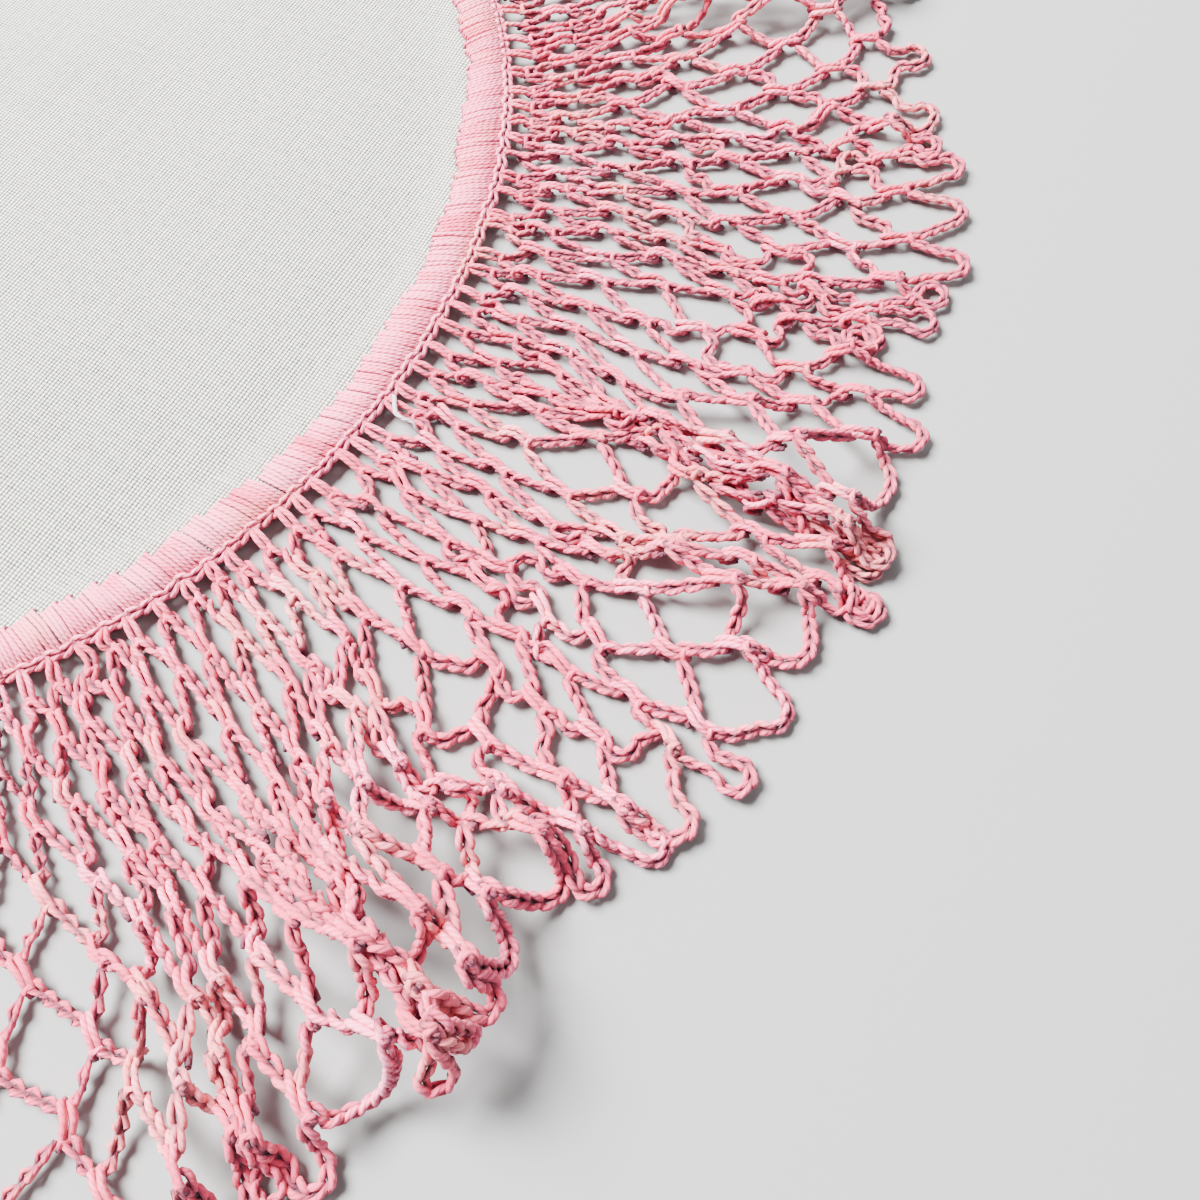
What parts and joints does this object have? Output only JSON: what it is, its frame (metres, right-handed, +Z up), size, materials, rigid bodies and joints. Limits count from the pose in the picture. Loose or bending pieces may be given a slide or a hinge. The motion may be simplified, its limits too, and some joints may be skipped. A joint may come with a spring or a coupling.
{
  "type": "lace doily with a round linen centre and a crocheted net edging",
  "caption": "Round table doily: flat linen centre, crocheted heading over its hem and a wide ruffled net of chain loops with a scalloped rim.",
  "frame": {"origin": "centre of the linen round's underside, on the surface that the doily lies on", "axes": "+Z up, away from the surface; +X and +Y lie in the surface"},
  "size_m": [0.2803, 0.2822, 0.0121],
  "materials": {
    "linen": "matt plain weave, off-white",
    "heading_thread": "matt twisted cotton, shaded pink",
    "net_thread": "matt twisted cotton, shaded pink"
  },
  "bodies": {
    "root": {"linen_round": "linen", "crochet_heading": "heading_thread", "net_edging": "net_thread"}
  },
  "joints": []
}
